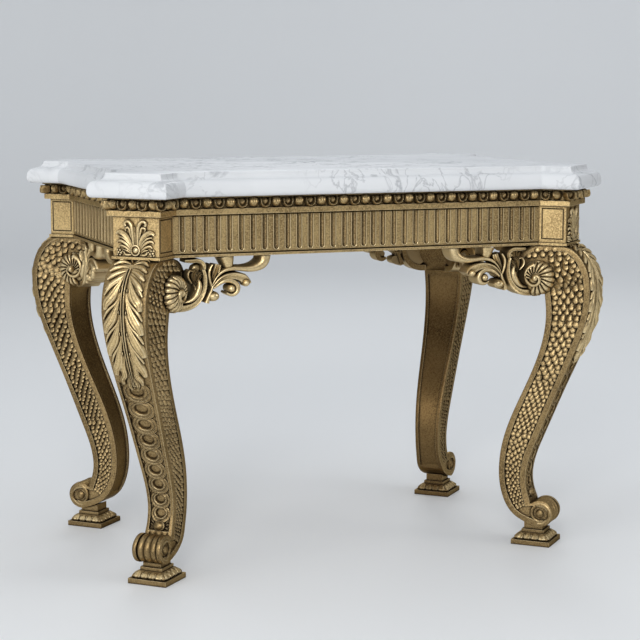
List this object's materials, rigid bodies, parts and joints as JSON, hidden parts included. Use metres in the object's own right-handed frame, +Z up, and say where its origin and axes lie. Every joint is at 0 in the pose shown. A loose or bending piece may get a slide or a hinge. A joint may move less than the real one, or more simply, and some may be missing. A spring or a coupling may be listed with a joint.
{
  "type": "pier table",
  "caption": "Carved and gilded pier table with a breakfront marble top, fluted aprons, diagonal corner posts and scrolled legs on square feet.",
  "frame": {"origin": "on the floor under the middle of the table", "axes": "+X along the length to the table's right as seen from its front, +Y from the front to the back, +Z up"},
  "size_m": [1.1722, 0.8092, 0.85],
  "materials": {
    "marble": "honed white marble with soft grey veins",
    "gilt_frame": "antique bronze-gold gilding over carved wood",
    "gilt_carving": "antique bronze-gold gilding, worn bright on the high places",
    "bare_wood": "planed wood, unfinished",
    "steel": "plain screws",
    "pads": "thin soft pads"
  },
  "bodies": {
    "root": {"marble_top": "marble", "slab_pads": "pads", "front_apron": "gilt_frame", "rear_apron": "gilt_frame", "left_apron": "gilt_frame", "right_apron": "gilt_frame", "cross_rail_left": "bare_wood", "cross_rail_right": "bare_wood", "corner_post_front_left": "gilt_frame", "corner_block_front_left": "bare_wood", "corner_post_front_right": "gilt_frame", "corner_block_front_right": "bare_wood", "corner_post_rear_left": "gilt_frame", "corner_block_rear_left": "bare_wood", "corner_post_rear_right": "gilt_frame", "corner_block_rear_right": "bare_wood", "corner_block_screws": "steel", "cornice_corner_front_left": "gilt_carving", "cornice_corner_front_right": "gilt_carving", "cornice_corner_rear_left": "gilt_carving", "cornice_corner_rear_right": "gilt_carving", "cornice_front": "gilt_carving", "cornice_rear": "gilt_carving", "cornice_left": "gilt_carving", "cornice_right": "gilt_carving", "leg_front_left": "gilt_frame", "acanthus_leaf_front_left": "gilt_carving", "guilloche_front_left": "gilt_carving", "palmette_front_left": "gilt_carving", "bracket_front_left_long": "gilt_carving", "bracket_front_left_side": "gilt_carving", "foot_front_left": "gilt_carving", "leg_front_right": "gilt_frame", "acanthus_leaf_front_right": "gilt_carving", "guilloche_front_right": "gilt_carving", "palmette_front_right": "gilt_carving", "bracket_front_right_long": "gilt_carving", "bracket_front_right_side": "gilt_carving", "foot_front_right": "gilt_carving", "leg_rear_left": "gilt_frame", "acanthus_leaf_rear_left": "gilt_carving", "guilloche_rear_left": "gilt_carving", "palmette_rear_left": "gilt_carving", "bracket_rear_left_long": "gilt_carving", "bracket_rear_left_side": "gilt_carving", "foot_rear_left": "gilt_carving", "leg_rear_right": "gilt_frame", "acanthus_leaf_rear_right": "gilt_carving", "guilloche_rear_right": "gilt_carving", "palmette_rear_right": "gilt_carving", "bracket_rear_right_long": "gilt_carving", "bracket_rear_right_side": "gilt_carving", "foot_rear_right": "gilt_carving", "leg_dowels": "bare_wood", "foot_dowels": "bare_wood"}
  },
  "joints": []
}
